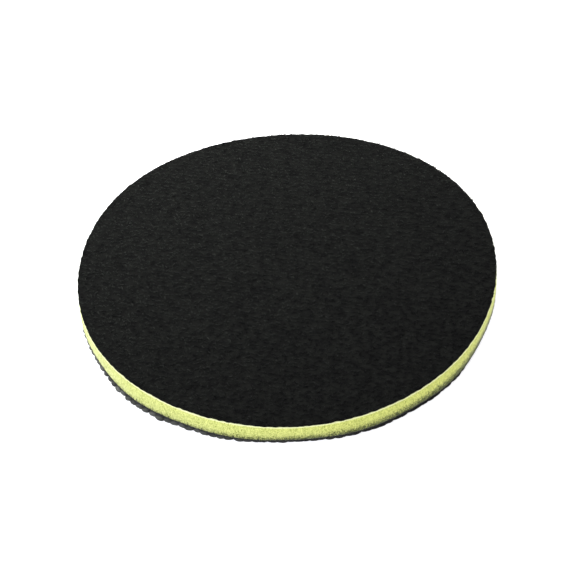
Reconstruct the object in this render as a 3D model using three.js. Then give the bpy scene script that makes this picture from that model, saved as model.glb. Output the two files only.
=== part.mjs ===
// A thin round polishing pad for a sanding or polishing machine, lying on its working face.
// It is a laminate cut from one sheet by a round die. From the working face up it holds: the looped
// microfibre pile, the cloth that pile is knitted into, a bond film, the foam core, a second bond film,
// and the backing cloth with the low loops that a machine's hook plate grips.
//
// Millimetres, +Z up. The origin is the middle of the working face, which lies in the plane z = 0.

import * as THREE from "three";

// ---- Driving sizes -------------------------------------------------------------------------------

const padDiameter = 150; // across the die cut, which trims the foam and both cloths

const pileHeight = 1.15; // microfibre loops, from their tips to the cloth they are knitted into
const pileSpread = 0.8; // how far the outermost loops lean out past the die cut
const pileShoulder = 0.3; // height over which the rim curves back in, just under the cloth
const faceClothThickness = 0.35; // knitted ground of the microfibre cloth
const faceClothSetback = 0.3; // the ground draws in a little where the die pinched it

const bondFilmThickness = 0.1; // melted adhesive film
const bondFilmSetback = 0.8; // the film stops this far inside the cut edge

const foamThickness = 6.6;
const foamCrown = 0.25; // how far the foam's cut side swells out at half its height
const foamTuckIn = 0.4; // the foam's lower edge is drawn in and up, towards the face cloth
const foamTuckHeight = 1.5;
const foamTopRound = 0.2;

const backingClothThickness = 0.4; // knitted ground of the backing cloth
const loopHeight = 0.5; // brushed loops that stand on the backing cloth
const loopEdgeRound = 0.3;

const clothCorner = 0.12; // how much the corners of both cut cloths are broken

const bondGap = 0.02; // clear space left between two layers that are bonded together

// ---- How finely round shapes are divided ---------------------------------------------------------

const turnSteps = 96; // flat sides round the pad
const roundSteps = 4; // steps in a quarter round of an edge
const crownSteps = 6; // steps up the foam's swollen side

const padRadius = padDiameter / 2;

// ---- Profiles: half sections, from the axis out and back to the axis -------------------------------

/** A quarter of an ellipse, from startAngle on, turning anticlockwise. */
function quarterRound(centreX, centreY, across, up, startAngle) {
  const points = [];
  for (let i = 0; i <= roundSteps; i += 1) {
    const angle = startAngle + ((Math.PI / 2) * i) / roundSteps;
    points.push(new THREE.Vector2(centreX + across * Math.cos(angle), centreY + up * Math.sin(angle)));
  }
  return points;
}

/** The lower edge of a layer's rim, which is rounded by `across` and `up`. */
function lowerEdge(radius, across, up) {
  return quarterRound(radius - across, up, across, up, -Math.PI / 2);
}

/** The upper edge of a layer's rim, which is rounded by `across` and `up`. */
function upperEdge(radius, thickness, across, up) {
  return quarterRound(radius - across, thickness - up, across, up, 0);
}

/** The side between two edges, which swells out by `crown` at half its height. */
function crownedSide(radius, bottom, top, crown) {
  const points = [];
  for (let i = 1; i < crownSteps; i += 1) {
    const share = i / crownSteps;
    const swell = crown * Math.sin(Math.PI * share);
    points.push(new THREE.Vector2(radius + swell, bottom + (top - bottom) * share));
  }
  return points;
}

/** Closes a rim onto the axis at the layer's lower and upper faces. */
function discProfile(rim, thickness) {
  return [new THREE.Vector2(0, 0), ...rim, new THREE.Vector2(0, thickness)];
}

/** A profile turned about the pad's axis, which is Z. */
function turned(profile) {
  const geometry = new THREE.LatheGeometry(profile, turnSteps);
  geometry.rotateX(Math.PI / 2);
  return geometry;
}

// ---- Layers ----------------------------------------------------------------------------------------

/** The looped working pile: flat where it rests, round at the rim, where its loops lean outwards. */
function microfibrePile() {
  const radius = padRadius + pileSpread;
  const tipRound = pileHeight - pileShoulder;
  const rim = [
    ...lowerEdge(radius, tipRound, tipRound),
    ...upperEdge(radius, pileHeight, pileSpread, pileShoulder),
  ];
  return turned(discProfile(rim, pileHeight));
}

/** A cut cloth: a thin disc with its two corners just broken. */
function clothDisc(radius, thickness) {
  const rim = [
    new THREE.Vector2(radius - clothCorner, 0),
    new THREE.Vector2(radius, clothCorner),
    new THREE.Vector2(radius, thickness - clothCorner),
    new THREE.Vector2(radius - clothCorner, thickness),
  ];
  return turned(discProfile(rim, thickness));
}

/** An adhesive film, which is square at its edge. */
function bondFilm() {
  const radius = padRadius - bondFilmSetback;
  const rim = [new THREE.Vector2(radius, 0), new THREE.Vector2(radius, bondFilmThickness)];
  return turned(discProfile(rim, bondFilmThickness));
}

/** The foam core: nearly square at the top, swollen at the side and drawn in at the bottom. */
function foamCore() {
  const rim = [
    ...lowerEdge(padRadius, foamTuckIn, foamTuckHeight),
    ...crownedSide(padRadius, foamTuckHeight, foamThickness - foamTopRound, foamCrown),
    ...upperEdge(padRadius, foamThickness, foamTopRound, foamTopRound),
  ];
  return turned(discProfile(rim, foamThickness));
}

/** The standing loops of the backing: a low flat mat with a rounded rim. */
function backingLoops() {
  const rim = [
    new THREE.Vector2(padRadius, 0),
    ...upperEdge(padRadius, loopHeight, loopEdgeRound, loopEdgeRound),
  ];
  return turned(discProfile(rim, loopHeight));
}

// ---- Finishes --------------------------------------------------------------------------------------

const charcoalMicrofibre = { color: 0x3c3d3e, roughness: 0.95, metalness: 0 };
const charcoalKnit = { color: 0x2b2c2d, roughness: 0.9, metalness: 0 };
const clearAdhesive = { color: 0xcfcbb8, roughness: 0.45, metalness: 0 };
const limeFoam = { color: 0xd9e27c, roughness: 1, metalness: 0 };
const blackKnit = { color: 0x161616, roughness: 0.9, metalness: 0 };
const blackLoops = { color: 0x202020, roughness: 1, metalness: 0 };

// ---- The laminate, from the working face up ----------------------------------------------------------

const layers = [
  {
    name: "microfibre_pile",
    geometry: microfibrePile(),
    thickness: pileHeight,
    finish: charcoalMicrofibre,
  },
  {
    name: "microfibre_ground_cloth",
    geometry: clothDisc(padRadius - faceClothSetback, faceClothThickness),
    thickness: faceClothThickness,
    finish: charcoalKnit,
  },
  {
    name: "face_bond_film",
    geometry: bondFilm(),
    thickness: bondFilmThickness,
    finish: clearAdhesive,
  },
  {
    name: "foam_core",
    geometry: foamCore(),
    thickness: foamThickness,
    finish: limeFoam,
  },
  {
    name: "backing_bond_film",
    geometry: bondFilm(),
    thickness: bondFilmThickness,
    finish: clearAdhesive,
  },
  {
    name: "backing_ground_cloth",
    geometry: clothDisc(padRadius, backingClothThickness),
    thickness: backingClothThickness,
    finish: blackKnit,
  },
  {
    name: "backing_loops",
    geometry: backingLoops(),
    thickness: loopHeight,
    finish: blackLoops,
  },
];

const pad = new THREE.Group();
let height = 0;
for (const layer of layers) {
  const mesh = new THREE.Mesh(layer.geometry, new THREE.MeshStandardMaterial(layer.finish));
  mesh.name = layer.name;
  mesh.position.z = height;
  pad.add(mesh);
  height += layer.thickness + bondGap;
}

export default pad;
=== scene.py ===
"""A thin round polishing pad, lying on its looped microfibre face, in a pale studio.

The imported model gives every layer's place. Here each layer is made again as the thing it is: rows of
brushed loops on a knitted backing, cut open-cell foam, and knotted microfibre tufts. Units are metres.
"""

import math
from types import SimpleNamespace

import bpy
import numpy as np
from mathutils import Matrix, Vector, noise


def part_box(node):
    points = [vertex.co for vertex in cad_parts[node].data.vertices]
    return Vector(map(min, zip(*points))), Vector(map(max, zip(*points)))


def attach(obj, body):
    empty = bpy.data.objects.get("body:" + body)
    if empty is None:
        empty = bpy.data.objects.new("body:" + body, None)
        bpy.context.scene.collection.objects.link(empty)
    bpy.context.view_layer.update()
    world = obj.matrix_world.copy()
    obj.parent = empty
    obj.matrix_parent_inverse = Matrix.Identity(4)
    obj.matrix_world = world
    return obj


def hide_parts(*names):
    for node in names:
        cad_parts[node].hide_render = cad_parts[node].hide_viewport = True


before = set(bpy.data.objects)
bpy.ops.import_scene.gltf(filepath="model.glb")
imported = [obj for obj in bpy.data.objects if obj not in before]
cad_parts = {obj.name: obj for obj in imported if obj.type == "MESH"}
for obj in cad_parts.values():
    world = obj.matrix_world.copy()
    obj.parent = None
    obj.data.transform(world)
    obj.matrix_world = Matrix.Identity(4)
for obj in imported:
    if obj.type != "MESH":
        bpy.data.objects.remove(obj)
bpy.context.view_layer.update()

MM = 0.001
TURN = 2 * math.pi


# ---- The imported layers, and how the real cut strays from them ------------------------------------


def layer(node):
    """The place of a packed layer: its two faces and its radius."""
    low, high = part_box(node)
    return SimpleNamespace(bottom=low.z, top=high.z, radius=high.x)


LOOPS = layer("backing_loops")
BACKING = layer("backing_ground_cloth")
FOAM = layer("foam_core")
FACE_CLOTH = layer("microfibre_ground_cloth")
PILE = layer("microfibre_pile")

PAD_RADIUS = BACKING.radius

# The die drags the soft layers, so the cut strays from a circle, and not alike at its top and its bottom.
# Each line holds how many lobes go round the pad, their size, and their turn.
TOP_STRAYS = (
    (2, 0.28 * MM, math.radians(9)),
    (3, 0.68 * MM, math.radians(94)),
    (4, 0.35 * MM, math.radians(148)),
    (5, 0.10 * MM, math.radians(-58)),
    (6, 0.07 * MM, math.radians(150)),
)
FLOOR_STRAYS = (
    (0, 0.34 * MM, 0),
    (1, 0.32 * MM, math.radians(-50)),
    (2, 0.46 * MM, math.radians(143)),
    (4, 0.51 * MM, math.radians(144)),
    (12, 0.28 * MM, math.radians(180)),
)
# How far the outermost knots of the pile stand past that cut.
PILE_STRAYS = (
    (0, 0.14 * MM, 0),
    (1, 0.63 * MM, math.radians(165)),
    (2, 0.16 * MM, math.radians(-176)),
    (4, 0.16 * MM, math.radians(171)),
    (5, 0.15 * MM, math.radians(92)),
    (6, 0.17 * MM, math.radians(-68)),
)

DRAG_FADE = 4  # the power by which the die's drag fades, from the edge inwards


def strays(lines, angle):
    """How far the cut strays at an angle, with each line's lobes added up."""
    return sum(size * np.cos(lobes * angle - turn) for lobes, size, turn in lines)


def placed(angle, distance, height):
    """Points of the real pad, from their angle, distance and height on a perfectly round one."""
    angle, distance, height = np.broadcast_arrays(angle, distance, height)
    up = np.clip(height / BACKING.bottom, 0, 1)
    stray = up * strays(TOP_STRAYS, angle) + (1 - up) * strays(FLOOR_STRAYS, angle)
    strayed = distance + stray * (distance / PAD_RADIUS) ** DRAG_FADE
    return np.stack([strayed * np.cos(angle), strayed * np.sin(angle), height], axis=-1)


def placed_flat(x, y, height):
    return placed(np.arctan2(y, x), np.hypot(x, y), height)


def round_the_pad(count):
    """That many angles, evenly round the pad."""
    return np.linspace(0, TURN, count, endpoint=False)


def smooth_step(share):
    """0 up to 0, 1 from 1 on, and smooth between them."""
    share = np.clip(share, 0, 1)
    return share * share * (3 - 2 * share)


def unit(vectors):
    return vectors / np.maximum(np.linalg.norm(vectors, axis=-1, keepdims=True), 1e-12)


# ---- Making meshes -------------------------------------------------------------------------------


class Shape:
    """Points and faces gathered one lot after another, with numbers for each point and a flat map."""

    def __init__(self):
        self.points, self.faces, self.maps = [], [], []
        self.numbers = {}
        self.count = 0

    def add(self, points, faces, maps=None, **numbers):
        points = np.asarray(points, float).reshape(-1, 3)
        self.points.append(points)
        for name, values in numbers.items():
            self.numbers.setdefault(name, []).append(np.broadcast_to(values, len(points)))
        self.faces += [np.asarray(f) + self.count for f in faces]
        self.maps += maps or []
        self.count += len(points)

    def piece(self, name, finish):
        """The gathered shape as one object that rides on the pad."""
        mesh = bpy.data.meshes.new(name)
        points = np.concatenate(self.points)
        mesh.vertices.add(len(points))
        mesh.vertices.foreach_set("co", points.astype(np.float32).ravel())
        sizes = np.concatenate([np.full(len(f), f.shape[1]) for f in self.faces])
        corners = np.concatenate([f.ravel() for f in self.faces])
        mesh.loops.add(len(corners))
        mesh.loops.foreach_set("vertex_index", corners.astype(np.int32))
        mesh.polygons.add(len(sizes))
        starts = np.concatenate([[0], np.cumsum(sizes)[:-1]])
        mesh.polygons.foreach_set("loop_start", starts.astype(np.int32))
        mesh.polygons.foreach_set("use_smooth", np.ones(len(sizes), bool))
        mesh.update(calc_edges=True)
        for number, values in self.numbers.items():
            held = mesh.attributes.new(number, "FLOAT", "POINT")
            held.data.foreach_set("value", np.concatenate(values).astype(np.float32))
        if self.maps:
            flat = np.concatenate([m.reshape(-1, 2) for m in self.maps])
            layer_map = mesh.uv_layers.new(name="OFBake")
            layer_map.uv.foreach_set("vector", flat.astype(np.float32).ravel())
        mesh.materials.append(finish)
        made = bpy.data.objects.new(name, mesh)
        bpy.context.scene.collection.objects.link(made)
        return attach(made, "root")


CELL_MARGIN = 0.06  # the clear border inside each cell of a flat map


def cell_maps(count, grids):
    """Flat maps for many like things: a square cell of the map for each, with its own grids inside."""
    wide = math.ceil(math.sqrt(count))
    index = np.arange(count)
    corner = np.stack([index % wide, index // wide], axis=-1)[:, None, None, :] + CELL_MARGIN
    return [(corner + (1 - 2 * CELL_MARGIN) * grid[None]) / wide for grid in grids]


def tubes(paths, radii, across, sides):
    """Round strands along many paths at once: paths is (strands, steps, 3), radii (strands, steps)."""
    strands, steps = paths.shape[:2]
    ahead = unit(np.gradient(paths, axis=1))
    across = across[:, None, :]
    side = unit(across - ahead * (across * ahead).sum(-1, keepdims=True))
    up = np.cross(ahead, side)
    turn = TURN * np.arange(sides) / sides
    ring = side[:, :, None] * np.cos(turn)[:, None] + up[:, :, None] * np.sin(turn)[:, None]
    points = paths[:, :, None] + radii[:, :, None, None] * ring
    here, after = np.arange(sides), (np.arange(sides) + 1) % sides
    low = np.arange(steps - 1)[:, None] * sides
    walls = np.stack([low + here, low + after, low + after + sides, low + here + sides], axis=-1)
    start, end = here[::-1], (steps - 1) * sides + here
    first = (np.arange(strands) * steps * sides)[:, None]
    faces = [
        (first[:, :, None] + walls.reshape(-1, 4)).reshape(-1, 4),
        first + start,
        first + end,
    ]
    along, round_ = np.meshgrid(np.arange(steps - 1), here, indexing="ij")
    u, v = along / (steps - 1), round_ / sides
    du, dv = 1 / (steps - 1), 1 / sides
    quads = np.stack([u, v, u, v + dv, u + du, v + dv, u + du, v], axis=-1).reshape(-1, 4, 2)
    caps = [np.stack([np.full(sides, x), here / sides], axis=-1)[None] for x in (0.0, 1.0)]
    return points.reshape(-1, 3), faces, cell_maps(strands, [quads, *caps])


KNOT_PLIES = 5
PLY_RIDGE = 0.06  # how far a ply stands up, as a share of the knot's size
KNOT_LUMP = 0.05  # how far a knot is from an even egg, as a share of its size
RIDGE_HIGHLIGHT = 5  # painted highlight: how much paler a ply is painted on its ridge, for each share that it stands up


def knots(middles, frames, sizes, twist, lumps, rings, sides):
    """Rounded knots of twisted yarn. frames holds each one's long, outward and downward axis.

    The painted shading that comes back with them is how pale each point is painted: painted highlights on
    the plies' ridges and the knot's upper side, and painted shade at its ends, where it dips into the
    cloth.
    """
    count = len(middles)
    lat = (np.pi * np.arange(1, rings + 1) / (rings + 1))[None, :, None]
    lon = (TURN * np.arange(sides) / sides)[None, None, :]
    twist, lump, phase = twist[:, None, None], lumps[:, 0, None, None], lumps[:, 1, None, None]
    ridge = PLY_RIDGE * np.cos(KNOT_PLIES * (lon + twist * np.cos(lat))) * np.sin(lat)
    swell = 1 + ridge + KNOT_LUMP * (np.cos(2 * lon + lump) + np.cos(3 * lat + phase))
    local = np.stack(
        np.broadcast_arrays(
            np.cos(lat) + 0 * swell,
            np.sin(lat) * np.cos(lon) * swell,
            np.sin(lat) * np.sin(lon) * swell,
        ),
        axis=-1,
    ).reshape(count, -1, 3)
    poles = np.broadcast_to(np.array([[1.0, 0, 0], [-1.0, 0, 0]]), (count, 2, 3))
    # painted shading: painted highlights on the ridges and the upper side, painted shade at the ends
    painted_shading = np.sin(lat) ** 2 * (0.62 - 0.38 * np.sin(lon)) * (1 + RIDGE_HIGHLIGHT * ridge)
    painted_shading = np.concatenate([painted_shading.reshape(count, -1), np.zeros((count, 2))], axis=1)
    local = np.concatenate([local, poles], axis=1) * sizes[:, None, :]
    points = middles[:, None] + np.einsum("nij,nkj->nki", frames, local)
    here, after = np.arange(sides), (np.arange(sides) + 1) % sides
    low = np.arange(rings - 1)[:, None] * sides
    walls = np.stack([low + here, low + here + sides, low + after + sides, low + after], axis=-1)
    top, bottom, last = rings * sides, rings * sides + 1, (rings - 1) * sides
    near = np.stack([np.full(sides, top), here, after], axis=-1)
    far = np.stack([np.full(sides, bottom), last + after, last + here], axis=-1)
    first = (np.arange(count) * (rings * sides + 2))[:, None, None]
    faces = [(first + f.reshape(-1, f.shape[-1])).reshape(-1, f.shape[-1]) for f in (walls, near, far)]
    ring, round_ = np.meshgrid(np.arange(1, rings), here, indexing="ij")
    u, v = ring / (rings + 1), round_ / sides
    du, dv = 1 / (rings + 1), 1 / sides
    quads = np.stack([u, v, u + du, v, u + du, v + dv, u, v + dv], axis=-1).reshape(-1, 4, 2)
    v = here / sides
    zero, one = np.zeros(sides), np.ones(sides)
    near_map = np.stack([zero, v + dv / 2, zero + du, v, zero + du, v + dv], axis=-1).reshape(-1, 3, 2)
    far_map = np.stack([one, v + dv / 2, one - du, v + dv, one - du, v], axis=-1).reshape(-1, 3, 2)
    return points, faces, cell_maps(count, [quads, near_map, far_map]), painted_shading


def turned(profile, angles, jitter=0):
    """A closed body turned round the pad's axis. The profile is (distance, height) pairs, axis to axis."""
    rim = np.asarray(profile[1:-1], float)
    count, rings = len(angles), len(rim)
    distance = rim[:, 0][:, None] + jitter
    points = placed(angles[None, :], distance, rim[:, 1][:, None])
    centre = np.array([placed(0.0, *profile[0]), placed(0.0, *profile[-1])])
    here, after = np.arange(count), (np.arange(count) + 1) % count
    low = (np.arange(rings - 1) * count)[:, None]
    walls = np.stack([low + here, low + after, low + after + count, low + here + count], axis=-1)
    bottom, top = rings * count, rings * count + 1
    last = (rings - 1) * count
    lower = np.stack([np.full(count, bottom), after, here], axis=-1)
    upper = np.stack([np.full(count, top), last + here, last + after], axis=-1)
    return np.concatenate([points.reshape(-1, 3), centre]), [walls.reshape(-1, 4), lower, upper]


# ---- Finishes: nodes written as sums -------------------------------------------------------------


class Wire:
    """A value on its way through a finish's nodes. Sums and products of wires add Math nodes."""

    def __init__(self, finish, socket):
        self.finish, self.socket = finish, socket

    def maths(self, operation, first, second):
        return self.finish.node("ShaderNodeMath", {"operation": operation}, first, second)

    def __add__(self, other):
        return self.maths("ADD", self, other)

    def __sub__(self, other):
        return self.maths("SUBTRACT", self, other)

    def __rsub__(self, other):
        return self.maths("SUBTRACT", other, self)

    def __mul__(self, other):
        return self.maths("MULTIPLY", self, other)

    __radd__ = __add__
    __rmul__ = __mul__

    def eased(self, low, high):
        """0 below low, 1 above high, and smooth between them."""
        settings = {"interpolation_type": "SMOOTHSTEP"}
        return self.finish.node("ShaderNodeMapRange", settings, self, low, high)


class Finish:
    """A Principled material and the few node calls that every finish here is written with."""

    def __init__(self, name, **plain):
        self.material = bpy.data.materials.new(name)
        self.material.use_nodes = True
        self.tree = self.material.node_tree
        self.tree.nodes.clear()
        self.surface = self.tree.nodes.new("ShaderNodeBsdfPrincipled")
        out = self.tree.nodes.new("ShaderNodeOutputMaterial")
        self.tree.links.new(self.surface.outputs[0], out.inputs["Surface"])
        for socket, value in plain.items():
            self.surface.inputs[socket.replace("_", " ")].default_value = value
        coordinates = self.tree.nodes.new("ShaderNodeTexCoord")
        self.place = Wire(self, coordinates.outputs["Object"])

    def node(self, kind, settings=None, *values, out=0, **named):
        """A node of any kind: its settings first, then its sockets, in order or by name."""
        made = self.tree.nodes.new(kind)
        for key, value in (settings or {}).items():
            setattr(made, key, value)
        for key, value in [*enumerate(values), *named.items()]:
            self.feed(made.inputs[key if isinstance(key, int) else key.replace("_", " ")], value)
        return Wire(self, made.outputs[out])

    def feed(self, socket, value):
        if isinstance(value, Wire):
            self.tree.links.new(value.socket, socket)
        else:
            socket.default_value = value

    def drive(self, **named):
        """Feeds wires to the surface's own sockets."""
        for key, value in named.items():
            self.feed(self.surface.inputs[key.replace("_", " ")], value)

    def held(self, number):
        """A number that the mesh holds at each point."""
        return self.node("ShaderNodeAttribute", {"attribute_name": number}, out="Fac")

    def cloud(self, scale, detail=2.0, rough=0.5, place=None):
        """Soft spots, about one over scale metres across."""
        sockets = {"Vector": place or self.place, "Scale": scale, "Detail": detail, "Roughness": rough}
        return self.node("ShaderNodeTexNoise", {}, **sockets)

    def cells(self, scale, feature="F1"):
        """Cells about one over scale metres across, as how far each place is from a middle or a wall."""
        return self.node("ShaderNodeTexVoronoi", {"feature": feature}, Vector=self.place, Scale=scale)

    def stretched(self, x, y, z):
        """The place, drawn out: a pattern laid on it is longer where the number is small."""
        return self.node("ShaderNodeVectorMath", {"operation": "MULTIPLY"}, self.place, (x, y, z))

    def height(self):
        return self.node("ShaderNodeSeparateXYZ", {}, self.place, out="Z")

    def blend(self, factor, first, second):
        """A colour between two colours."""
        made = self.tree.nodes.new("ShaderNodeMix")
        made.data_type = "RGBA"
        self.feed(made.inputs["Factor"], factor)
        colours = [s for s in made.inputs if s.type == "RGBA"]
        self.feed(colours[0], first)
        self.feed(colours[1], second)
        return Wire(self, next(s for s in made.outputs if s.type == "RGBA"))

    def relief(self, height, depth, strength):
        """A bump of that many metres between height 0 and 1."""
        sockets = {"Height": height, "Distance": depth, "Strength": strength}
        return self.node("ShaderNodeBump", {}, **sockets, out="Normal")


def grey(level):
    return (level, level, level, 1)


WORN_NYLON_AND_SHEEN = (0.0262, 0.0292, 0.0238, 1)
WORN_KNIT = (0.0068, 0.0072, 0.006, 1)
LIME, BRIGHT_LIME = (0.6, 0.625, 0.145, 1), (0.67, 0.7, 0.18, 1)
LIT_LIME = (0.54, 0.555, 0.31, 1)
OPENED_LIME = (0.24, 0.275, 0.05, 1)
HIGHLIGHT_LIME = (0.86, 0.88, 0.5, 1)
SHADE_OLIVE = (0.05, 0.062, 0.006, 1)
WORN_YARN_AND_HIGHLIGHT = (0.25, 0.255, 0.225, 1)
WEB, PALE_WEB = (0.62, 0.6, 0.5, 1), (0.72, 0.7, 0.6, 1)


def brushed_patches(finish):
    """Patches of a few millimetres, where the loops are brushed another way."""
    return finish.cloud(420, detail=3).eased(0.36, 0.64)


def loop_finish():
    """Black brushed nylon loops: matte, greyer where a strand is worn up, and with painted sheen to one
    side.
    """
    finish = Finish("black_brushed_loops", Sheen_Weight=0.03, Sheen_Roughness=0.5, Specular_IOR_Level=0.06)
    strand = finish.held("shade")
    # The strands' shade holds their own tone and the painted sheen; both reach towards the pale nylon.
    tone = brushed_patches(finish) * 0.36 + strand - 0.15
    finish.drive(
        Base_Color=finish.blend(tone, grey(0.0012), WORN_NYLON_AND_SHEEN),
        Roughness=0.95 - strand * 0.2,
    )
    return finish.material


def backing_finish():
    """Black knitted ground under the loops: fine courses and dark gaps."""
    finish = Finish("black_knit", Sheen_Weight=0.01, Sheen_Roughness=0.5, Specular_IOR_Level=0.05)
    courses = finish.cloud(1, detail=2, place=finish.stretched(600, 2600, 600))
    tone = courses * 0.5 + brushed_patches(finish) * 0.5
    finish.drive(
        Base_Color=finish.blend(tone, grey(0.0008), WORN_KNIT),
        Roughness=0.8 + courses * 0.15,
        Normal=finish.relief(courses, 0.15 * MM, 0.8),
    )
    return finish.material


def foam_finish():
    """Lime open-cell foam, cut by a die: fine cells, faint draw lines, painted shade at its foot near the
    pile.
    """
    finish = Finish("lime_foam", Specular_IOR_Level=0.15, Sheen_Weight=0.25, Sheen_Roughness=0.45)
    pits, painted_shade, painted_light = (finish.held(number) for number in ("pit", "painted_shade", "painted_light"))
    cells = finish.cells(2600)
    grain = finish.cloud(900, detail=4, rough=0.65)
    speckle = finish.cloud(2300, detail=3, rough=0.75).eased(0.4, 0.62)
    drawn = finish.cloud(1, detail=2, place=finish.stretched(2400, 2400, 500)).eased(0.4, 0.65)
    patches = finish.cloud(60, detail=3)
    # painted highlight: a pale cream line painted along the foam's top edge, where it catches the light
    edge_highlight = finish.height().eased(FOAM.top - 0.5 * MM, FOAM.top - 0.15 * MM)
    lime = finish.blend(patches, LIME, BRIGHT_LIME)
    # painted light: the side facing the left light is painted paler, most low down
    body = finish.blend(painted_light * 0.6, lime, LIT_LIME)
    # painted shade: the opened pits are painted darker, with the cells', speckle's and draw lines' own tone
    opened = cells.eased(0.25, 0.75) * 0.15 + pits * 0.85 + speckle * 0.5 + drawn * 0.25
    celled = finish.blend(opened, body, OPENED_LIME)
    edged = finish.blend(edge_highlight * 0.75, celled, HIGHLIGHT_LIME)
    # painted shade: the foot of the cut side is painted dark olive, broken up by speckle and grain
    foot_darkening = (painted_shade * (0.25 + speckle * 0.6 + grain * 0.4)).eased(0, 1)
    finish.drive(
        Base_Color=finish.blend(foot_darkening, edged, SHADE_OLIVE),
        Roughness=0.9 + pits * 0.1,
        Normal=finish.relief(cells * 0.5 + grain * 0.5, 0.18 * MM, 0.7),
    )
    return finish.material


def pile_finish():
    """Charcoal microfibre yarn: soft sheen, twisted filaments, with the knots' painted highlights and
    shade.
    """
    finish = Finish("charcoal_microfibre", Sheen_Weight=0.08, Sheen_Roughness=0.4, Specular_IOR_Level=0.15)
    strand = finish.held("shade")
    fibres = finish.cloud(5200, detail=3, rough=0.7)
    finish.drive(
        Base_Color=finish.blend(strand * (0.6 + fibres * 0.7), grey(0.008), WORN_YARN_AND_HIGHLIGHT),
        Roughness=0.75 + fibres * 0.2,
        Normal=finish.relief(fibres, 0.1 * MM, 0.8),
    )
    return finish.material


def face_cloth_finish():
    """Charcoal knitted ground of the microfibre cloth, and the cut ends that come from it."""
    finish = Finish("charcoal_knit", Sheen_Weight=0.1, Specular_IOR_Level=0.2)
    knit = finish.cloud(1, detail=2, place=finish.stretched(900, 2000, 900))
    patches = finish.cloud(200, detail=2)
    finish.drive(
        Base_Color=finish.blend(knit * 0.7 + patches * 0.3, grey(0.006), grey(0.022)),
        Roughness=0.8 + knit * 0.15,
        Normal=finish.relief(knit, 0.12 * MM, 0.8),
    )
    return finish.material


def film_finish():
    """Melted adhesive web: cloudy, with small thin spots."""
    finish = Finish("adhesive_film", Specular_IOR_Level=0.5)
    web = finish.cells(500, feature="DISTANCE_TO_EDGE")
    clouds = finish.cloud(120, detail=3)
    finish.drive(
        Base_Color=finish.blend(clouds, WEB, PALE_WEB),
        Roughness=0.35 + web * 0.4,
        Normal=finish.relief(web, 0.05 * MM, 0.6),
    )
    return finish.material


def floor_finish():
    """A white light table: it glows a little, so nothing on it casts a hard shadow."""
    finish = Finish("pale_floor", Roughness=0.9, Specular_IOR_Level=0.1, Emission_Strength=0.5)
    finish.surface.inputs["Emission Color"].default_value = grey(1)
    finish.drive(Base_Color=finish.blend(finish.cloud(3), grey(0.9), grey(0.92)))
    return finish.material


# ---- Backing -------------------------------------------------------------------------------------

CLOTH_CORNER = 0.12 * MM  # how much the corners of a cut cloth are broken
ROW_PITCH = 1.87 * MM  # from one row of loops to the next
STITCH_PITCH = 1.05 * MM  # along a row
STITCH_DRIFT = (0.32 * MM, 0.34 * MM)  # how far a loop's foot strays along and across its row
ROW_TURN = math.radians(-14.65)  # the cloth's rows, as it was laid under the die
LOOP_FILAMENTS = 3
LOOP_STEPS, LOOP_SIDES = 5, 3
LOOP_THICKNESS = 0.16 * MM
LOOP_ROOT = 0.05 * MM  # how deep a loop's two feet stand in the knit
LOOP_BANDS = 5  # the rows are kept as this many pieces
EDGE_MARGIN = 0.1 * MM  # the last loops stand this far inside the cut edge
EDGE_FUZZ = 0.12 * MM  # how far a cut loop may stand past the edge
EDGE_SHADE = 2.0 * MM  # the loops are darker towards the cut edge, within this width
SHEEN_SIDE = math.radians(125)  # painted sheen: the loops are painted greyer towards this side, as the back light's sheen


def row_to_pad(along, across):
    """A place on the cloth, from along its rows and across them, as x and y."""
    cos, sin = math.cos(ROW_TURN), math.sin(ROW_TURN)
    return along * cos - across * sin, along * sin + across * cos


def stitch_places(rng):
    """The middle of each loop's foot, along and across the rows, inside the cut edge."""
    reach = int(PAD_RADIUS / ROW_PITCH) + 1
    far = int(PAD_RADIUS / STITCH_PITCH) + 1
    row, stitch = np.meshgrid(np.arange(-reach, reach + 1), np.arange(-far, far + 1))
    row, stitch = row.ravel(), stitch.ravel()
    along = (stitch + 0.5 * (row % 2)) * STITCH_PITCH + rng.normal(0, STITCH_DRIFT[0], row.size)
    across = row * ROW_PITCH + rng.normal(0, STITCH_DRIFT[1], row.size)
    inside = np.hypot(along, across) < PAD_RADIUS - EDGE_MARGIN
    return along[inside], across[inside]


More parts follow.
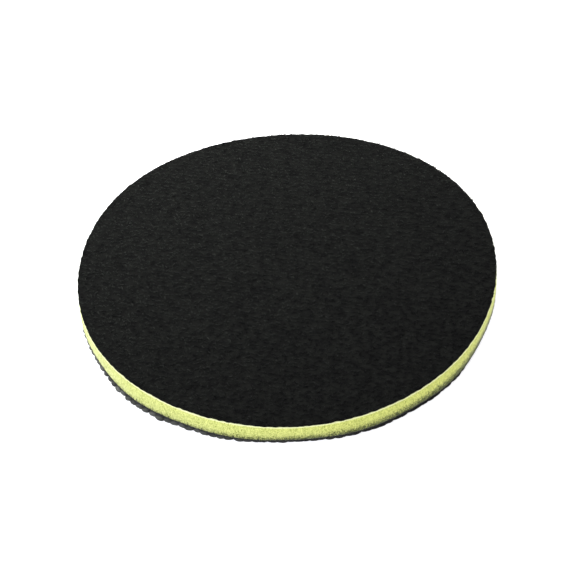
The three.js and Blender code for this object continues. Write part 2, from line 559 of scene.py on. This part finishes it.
def backing_loops(finish):
    """Rows of low loops: each a few filaments that rise, lean along the row and go back down."""
    rng = np.random.default_rng(11)
    along, across = (np.repeat(feet, LOOP_FILAMENTS) for feet in stitch_places(rng))
    count = along.size
    stitches = count // LOOP_FILAMENTS

    def shared(values):
        """What all filaments of a loop have in common."""
        return np.repeat(values, LOOP_FILAMENTS)[:, None]

    t = np.linspace(0, 1, LOOP_STEPS)[None, :]
    rise = np.sin(np.pi * t) ** 0.8
    length = (shared(rng.uniform(0.5, 1.4, stitches)) + rng.normal(0, 0.25, (count, 1))) * MM
    most = LOOPS.top - LOOPS.bottom - LOOP_THICKNESS / 2
    height = shared(rng.uniform(0.55, 1.0, stitches)) * rng.uniform(0.7, 1.0, (count, 1)) * most
    bow = (shared(rng.normal(0, 0.22, stitches)) + rng.normal(0, 0.3, (count, 1))) * MM
    drift = (shared(rng.normal(0, 0.5, stitches)) + rng.normal(0, 0.4, (count, 1))) * MM
    lean = rng.uniform(-0.1, 0.5, (count, 1)) * MM
    u = along[:, None] + length * (t - 0.5) + lean * rise
    v = across[:, None] + bow * rise + drift * (t - 0.5)
    pull = np.minimum(1, (PAD_RADIUS + EDGE_FUZZ) / np.hypot(u, v))
    x, y = row_to_pad(u * pull, v * pull)
    paths = placed_flat(x, y, LOOPS.bottom - LOOP_ROOT + height * rise)
    thick = LOOP_THICKNESS / 2 * rng.uniform(0.6, 1.0, (count, 1)) * (0.75 + 0.25 * rise)
    sideways = np.array([-math.sin(ROW_TURN), math.cos(ROW_TURN), 0.0])
    shade = (0.6 * shared(rng.random(stitches) ** 1.5) + 0.7 * rng.random((count, 1)) ** 3)[:, 0]
    shade *= 0.1 + 0.9 * smooth_step((PAD_RADIUS - np.hypot(along, across)) / EDGE_SHADE)
    # painted sheen: strands are painted paler towards the sheen side and darker away from it
    x, y = row_to_pad(along, across)
    shade *= 1.1 + 1.3 * (x * math.cos(SHEEN_SIDE) + y * math.sin(SHEEN_SIDE)) / PAD_RADIUS
    band = np.clip(((across / PAD_RADIUS + 1) / 2 * LOOP_BANDS).astype(int), 0, LOOP_BANDS - 1)
    pieces = []
    for number in range(LOOP_BANDS):
        mine = band == number
        beside = np.broadcast_to(sideways, (int(mine.sum()), 3))
        points, faces, maps = tubes(paths[mine], thick[mine], beside, LOOP_SIDES)
        shape = Shape()
        shape.add(points, faces, maps, shade=np.repeat(shade[mine], LOOP_STEPS * LOOP_SIDES))
        pieces.append(shape.piece(f"backing_loop_rows_{number + 1}", finish))
    return pieces


def cloth_profile(cloth, lower, upper):
    """Half section of a cut cloth. lower and upper are rings on its two faces, as shares of its radius."""
    inner = cloth.radius - CLOTH_CORNER
    return [
        (0, cloth.bottom),
        *((share * cloth.radius, cloth.bottom) for share in lower),
        (inner, cloth.bottom),
        (cloth.radius, cloth.bottom + CLOTH_CORNER),
        (cloth.radius, cloth.top - CLOTH_CORNER),
        (inner, cloth.top),
        *((share * cloth.radius, cloth.top) for share in upper),
        (0, cloth.top),
    ]


def wander(rng, size, count, blur):
    """A ragged line round the pad: random steps, blurred over a few neighbours."""
    return np.convolve(rng.normal(0, size, count), np.ones(blur) / blur, mode="same")


def backing_cloth(finish):
    """The knitted ground, with the ragged edge that the die leaves."""
    angles = round_the_pad(1400)
    profile = cloth_profile(BACKING, (0.5,), (0.98, 0.9, 0.75, 0.55, 0.3))
    ragged = np.zeros((len(profile) - 2, len(angles)))
    ragged[1:5] = wander(np.random.default_rng(12), 0.16 * MM, len(angles), 4)  # the four rings of the edge
    shape = Shape()
    shape.add(*turned(profile, angles, ragged))
    return shape.piece("backing_knit", finish)


# ---- Foam and films ------------------------------------------------------------------------------

FOAM_AROUND, FOAM_UP = 2600, 34  # points round the foam and up its side
FOAM_CROWN = 0.25 * MM  # how far its cut side swells out at half its height
FOAM_TUCK, FOAM_TUCK_HEIGHT = 0.3 * MM, 1.2 * MM  # how its lower edge is drawn in
CELL_SIZE, CELL_GROUP = 0.75 * MM, 2.3 * MM  # the larger opened cells, and the groups that they open in
PIT_DEPTH = 0.36 * MM
# The streaks and spots that break up the top of the painted shade at the foam's foot.
SHADE_STREAK, SHADE_SPOT = 0.5 * MM, 0.9 * MM

# How far up the cut side the painted shade at its foot reaches, with its lobes as above.
PAINTED_SHADE_STRAYS = (
    (0, 2.95 * MM, 0),
    (1, 1.6 * MM, math.radians(-25)),
)
SHADED_SIDE = math.radians(-30)  # painted shade: the foot of the cut side is painted darkest here, away from the light
LIT_SIDE = math.radians(-165)  # painted light: the foam is painted paler on this side, facing the left light, most low down


def foam_side(share):
    """How far the cut side stands off the die's line at a share of the foam's height."""
    height = share * (FOAM.top - FOAM.bottom)
    tuck = np.clip(1 - height / FOAM_TUCK_HEIGHT, 0, 1)
    return FOAM_CROWN * np.sin(np.pi * share) - FOAM_TUCK * (1 - np.sqrt(1 - tuck**2))


def foam_body(finish):
    """The foam core, its cut side pitted by opened cells, more of them towards the bottom."""
    angles = round_the_pad(FOAM_AROUND)
    share = np.linspace(0, 1, FOAM_UP)
    radii = PAD_RADIUS + foam_side(share)
    heights = FOAM.bottom + share * (FOAM.top - FOAM.bottom)
    side = placed(angles[None, :], radii[:, None], heights[:, None])

    def sampled(pattern, size, drawn=(1, 1, 1)):
        """A pattern of that size at every point of the cut side."""
        places = (side * drawn).reshape(-1, 3) / size
        return np.array([pattern(place) for place in places]).reshape(side.shape[:2])

    near = sampled(lambda place: noise.voronoi(place)[0][0], CELL_SIZE)
    reach = 0.44 - 0.2 * share[:, None] + 0.14 * sampled(noise.noise, CELL_GROUP)
    pit = np.clip(1 - near / np.maximum(reach, 0.05), 0, 1)
    jitter = -PIT_DEPTH * pit
    jitter[0], jitter[-1] = 0, 0
    up = (heights[:, None] - FOAM.bottom) / strays(PAINTED_SHADE_STRAYS, angles)[None, :]
    up = up + 0.14 * sampled(noise.noise, SHADE_STREAK, (1, 1, 0.25)) + 0.1 * sampled(noise.noise, SHADE_SPOT)
    # painted shade: painted darker low down, and most on the shaded side
    painted_shade = np.clip(1 - up, 0, 1) * (0.9 + 1.2 * np.cos(angles - SHADED_SIDE)).clip(0.4)
    # painted light: paler towards the lit side and low down
    painted_light = (0.5 + 0.5 * np.cos(angles - LIT_SIDE)) ** 2 * (1 - 0.4 * share[:, None])
    points, faces = turned([(0, FOAM.bottom), *zip(radii, heights), (0, FOAM.top)], angles, jitter)
    shape = Shape()
    held = {"pit": pit, "painted_shade": painted_shade, "painted_light": painted_light}
    shape.add(points, faces, **{name: [*values.ravel(), 0, 0] for name, values in held.items()})
    return shape.piece("foam_disc", finish)


FILM_SETBACK = 1.2 * MM  # the films stop this far inside the cut edge


def bond_film(name, node, finish):
    """A film of melted web between two layers, with a wandering edge."""
    film = layer(node)
    angles = round_the_pad(360)
    radius = PAD_RADIUS - FILM_SETBACK
    profile = [(0, film.bottom), (radius, film.bottom), (radius, film.top), (0, film.top)]
    shape = Shape()
    shape.add(*turned(profile, angles, wander(np.random.default_rng(31), 0.5 * MM, len(angles), 5)))
    return shape.piece(name, finish)


# ---- Working face --------------------------------------------------------------------------------

KNOT_PITCH = 2.35 * MM  # on the face
RIM_PITCH = 2.8 * MM  # round the edge, where the cloth is stretched
RIM_ROOM = 3.2 * MM  # the edge's own knots take this much of the radius
KNOT_HALF_HEIGHT = (PILE.top - PILE.bottom) / 2 + 0.03 * MM
FACE_BANDS = 4  # the face's knots are kept as this many pieces
FACE_WEAR = 0.7
RIM_FINENESS, FACE_FINENESS = (11, 20), (7, 12)  # rings along a knot, and points round each
FLOOR_LINE = 0.01 * MM  # the knots are pressed flat at this height
PRESSED_AND_SHADED_SIDE = math.radians(-40)  # here the knots are pressed together into a smoother rim, and painted darker, as painted shade

# The rows of knots round the edge, from the outermost in: how far back each stands, its shift in knots,
# and its height and its painted light as shares of the most. The inner rows are painted darker, as painted
# shade between and under the outer knots.
RIM_ROWS = (
    (0.0, 0.0, 0.82, 1.0),
    (0.9 * MM, 0.5, 1.0, 0.35),
    (2.4 * MM, 0.0, 1.0, 0.35),
)


def face_cloth(finish):
    """The knitted ground that the knots are looped through."""
    shape = Shape()
    shape.add(*turned(cloth_profile(FACE_CLOTH, (0.6,), (0.6,)), round_the_pad(900)))
    return shape.piece("face_knit", finish)


def knot_frames(rng, heading, tilt, slant):
    """Each knot's long, outward and downward axis, turned a little at random."""
    heading = heading + rng.normal(0, 1, heading.size) * tilt
    slope = rng.normal(0, 1, heading.size) * slant
    flat = np.stack([np.cos(heading), np.sin(heading), np.zeros_like(heading)], axis=-1)
    up = np.array([0.0, 0.0, 1.0])
    long = flat * np.cos(slope)[:, None] + up * np.sin(slope)[:, None]
    out = unit(np.cross(long, up))
    return np.stack([long, out, np.cross(long, out)], axis=-1)


def knot_piece(name, rng, middles, frames, sizes, fineness, wear_and_painted_light, finish):
    """One piece of many knots, each pressed flat where it meets the floor."""
    count = len(middles)
    lumps = rng.uniform(0, TURN, (count, 2))
    twist = rng.uniform(-1.4, 1.4, count)
    points, faces, maps, painted_shading = knots(middles, frames, sizes, twist, lumps, *fineness)
    height = points[..., 2]
    flattened = FLOOR_LINE + 0.1 * height.clip(-0.05 * MM)
    points[..., 2] = np.where(height < FLOOR_LINE, flattened, height).clip(0.0, PILE.top + 0.3 * MM)
    shape = Shape()
    # painted shading: each knot's tone, times its wear and painted light, times its painted highlights and
    # shade
    shade = ((0.4 + 0.6 * rng.random(count)) * wear_and_painted_light)[:, None] * (0.1 + 0.95 * painted_shading)
    shape.add(points, faces, maps, shade=shade.ravel())
    return shape.piece(name, finish)


def rim_knots(finish):
    """The looped yarn's knots round the edge: an outer row, then two more, each in the last one's gaps."""
    rng = np.random.default_rng(21)
    many = int(TURN * PAD_RADIUS / RIM_PITCH)
    pieces = []
    for number, (back, shift, tall, painted_row_light) in enumerate(RIM_ROWS, 1):
        angle = (np.arange(many) + shift + rng.uniform(-0.14, 0.14, many)) * TURN / many
        pressed_and_shaded = 0.5 + 0.5 * np.cos(angle - PRESSED_AND_SHADED_SIDE)
        long = (rng.uniform(1.35, 1.55, many) + 0.3 * pressed_and_shaded + 0.8 * pressed_and_shaded**2) * MM
        wide = rng.uniform(1.0, 1.25, many) * MM
        high = rng.uniform(0.9, 1.05, many) * tall * KNOT_HALF_HEIGHT
        uneven = (rng.normal(0, 1, many) * (0.2 - 0.14 * pressed_and_shaded) - 0.08 * pressed_and_shaded) * MM
        out = PAD_RADIUS + strays(PILE_STRAYS, angle) + uneven - wide - back
        middles = placed(angle, out, high * 0.97 + rng.uniform(0, 0.1, many) * MM)
        frames = knot_frames(rng, angle + math.pi / 2, 0.18 - 0.1 * pressed_and_shaded, 0.18 - 0.13 * pressed_and_shaded)
        sizes = np.stack([long, wide, high], axis=-1)
        # painted light: the knots are painted darker towards the shaded, pressed side, and in the inner
        # rows
        wear_and_painted_light = (1 - 0.98 * pressed_and_shaded) * painted_row_light
        name = f"rim_knots_{number}"
        pieces.append(knot_piece(name, rng, middles, frames, sizes, RIM_FINENESS, wear_and_painted_light, finish))
    return pieces


def face_knots(finish):
    """The knots of the working face, row by row."""
    rng = np.random.default_rng(22)
    reach = int(PAD_RADIUS / KNOT_PITCH) + 8
    row, column = np.meshgrid(np.arange(-reach, reach + 1), np.arange(-reach, reach + 1))
    x = (column + 0.5 * (row % 2)).ravel() * KNOT_PITCH + rng.normal(0, 0.12 * MM, row.size)
    y = row.ravel() * KNOT_PITCH * math.sqrt(0.75) + rng.normal(0, 0.12 * MM, row.size)
    inside = np.hypot(x, y) < PAD_RADIUS - RIM_ROOM
    x, y = x[inside], y[inside]
    order = np.argsort(y)
    pieces = []
    for number, mine in enumerate(np.array_split(order, FACE_BANDS), 1):
        many = len(mine)
        long = rng.uniform(1.05, 1.35, many) * MM
        wide = rng.uniform(0.95, 1.2, many) * MM
        high = rng.uniform(0.95, 1.05, many) * KNOT_HALF_HEIGHT
        middles = placed_flat(x[mine], y[mine], high * 0.97 + rng.uniform(0, 0.1, many) * MM)
        frames = knot_frames(rng, rng.uniform(0, math.pi, many), 0.4, 0.18)
        sizes = np.stack([long, wide, high], axis=-1)
        name = f"face_knots_{number}"
        pieces.append(knot_piece(name, rng, middles, frames, sizes, FACE_FINENESS, FACE_WEAR, finish))
    return pieces


def lint_fringe(finish):
    """Cut microfibre ends that cling to the foam just above the cloth, each thinner towards its tip."""
    rng = np.random.default_rng(23)
    count, steps, sides = 4200, 5, 3
    thickness = 0.11 * MM
    angle = rng.uniform(0, TURN, count)[:, None]
    t = np.linspace(0, 1, steps)[None, :]
    length = rng.gamma(2.2, 0.42, count)[:, None].clip(0.3, 2.6) * MM
    height = FACE_CLOTH.top - 0.25 * MM + length * t
    share = np.clip((height - FOAM.bottom) / (FOAM.top - FOAM.bottom), 0, 1)
    off = rng.uniform(0.02, 0.22, count)[:, None] * MM * np.sin(np.pi * t)
    sway = rng.normal(0, 0.5, count)[:, None] * MM * t**1.5 / PAD_RADIUS
    paths = placed(angle + sway, PAD_RADIUS + foam_side(share) + off, height)
    radii = np.broadcast_to(thickness / 2 * (1 - 0.6 * t), (count, steps))
    across = np.stack([-np.sin(angle), np.cos(angle), np.zeros_like(angle)], axis=-1)[:, 0]
    points, faces, maps = tubes(paths, radii, across, sides)
    shape = Shape()
    shape.add(points, faces, maps, shade=np.repeat(rng.random(count), steps * sides))
    return shape.piece("lint_fringe", finish)


# ---- The pad -------------------------------------------------------------------------------------


def stands_for(pieces, node):
    """The pieces take the place of a packed layer, which is hidden."""
    for piece in pieces:
        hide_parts(node)
    return pieces


def build_pad():
    """Every layer of the pad, from the loops down."""
    charcoal, charcoal_knit, film = pile_finish(), face_cloth_finish(), film_finish()

    loops = stands_for(backing_loops(loop_finish()), "backing_loops")
    (backing,) = stands_for([backing_cloth(backing_finish())], "backing_ground_cloth")
    for node in ("backing_bond_film", "face_bond_film"):
        stands_for([bond_film(node + "_web", node, film)], node)
    (foam,) = stands_for([foam_body(foam_finish())], "foam_core")
    (cloth,) = stands_for([face_cloth(charcoal_knit)], "microfibre_ground_cloth")
    pile = stands_for(rim_knots(charcoal) + face_knots(charcoal), "microfibre_pile")
    foot_darkening = lint_fringe(charcoal_knit)


# ---- Studio --------------------------------------------------------------------------------------

# Each softbox: its place, its two sides, its power in watts and its colour.
SOFTBOXES = {
    "softbox_left": ((-0.457, -0.357, 0.35), (0.5, 0.4), 2.6, (0.9, 0.95, 1.15)),
    "softbox_right": ((0.49, 0.23, 0.3), (0.4, 0.3), 0.8, (0.95, 0.95, 1.1)),
    "softbox_back": ((-0.2, 0.6, 0.25), (0.8, 0.3), 1.8, (1, 1, 1)),
    "softbox_corner": ((-0.1, 0.19, 0.2), (0.3, 0.12), 0.9, (1, 1, 1)),
}
SKY_STRENGTH = 0.87
FLOOR_HALF = 12.0


def softbox(name, place, size, power, colour):
    """A soft light aimed at the pad. It doesn't show itself."""
    light = bpy.data.lights.new(name, "AREA")
    light.color = colour
    light.shape, light.size, light.size_y, light.energy = "RECTANGLE", size[0], size[1], power
    made = bpy.data.objects.new(name, light)
    made.location = place
    made.rotation_euler = (-Vector(place)).to_track_quat("-Z", "Y").to_euler()
    made.visible_camera = False
    bpy.context.scene.collection.objects.link(made)


def floor():
    mesh = bpy.data.meshes.new("floor")
    corners = [(x * FLOOR_HALF, y * FLOOR_HALF, 0) for x, y in ((-1, -1), (1, -1), (1, 1), (-1, 1))]
    mesh.from_pydata(corners, [], [(0, 1, 2, 3)])
    mesh.materials.append(floor_finish())
    made = bpy.data.objects.new("floor", mesh)
    bpy.context.scene.collection.objects.link(made)


def studio():
    floor()
    world = bpy.data.worlds.new("studio")
    world.use_nodes = True
    sky = world.node_tree.nodes["Background"]
    sky.inputs["Color"].default_value = (1, 1, 1, 1)
    sky.inputs["Strength"].default_value = SKY_STRENGTH
    bpy.context.scene.world = world
    for name, facts in SOFTBOXES.items():
        softbox(name, *facts)
    bpy.context.scene.view_settings.view_transform = "Standard"


EYE_ELEVATION, EYE_ROLL = math.radians(44.979), math.radians(-3.753)
EYE_DISTANCE = 456.53 * MM
EYE_TARGET = (-0.006 * MM, -12.582 * MM, BACKING.bottom)
LENS, SENSOR = 81.04, 36.0  # these two in millimetres, as on a camera


def camera():
    """The eye stands off the front at 45 degrees, with a long lens and a small roll."""
    back = Vector((0, -math.cos(EYE_ELEVATION), math.sin(EYE_ELEVATION)))
    right = Vector((1, 0, 0))
    up = back.cross(right)
    across = math.cos(EYE_ROLL) * right + math.sin(EYE_ROLL) * up
    upright = back.cross(across)
    data = bpy.data.cameras.new("camera")
    data.lens, data.sensor_width = LENS, SENSOR
    data.clip_start = 0.01
    made = bpy.data.objects.new("camera", data)
    place = Vector(EYE_TARGET) + back * EYE_DISTANCE
    axes = Matrix((across, upright, back)).transposed()
    made.matrix_world = Matrix.Translation(place) @ axes.to_4x4()
    bpy.context.scene.collection.objects.link(made)
    bpy.context.scene.camera = made


build_pad()
studio()
camera()
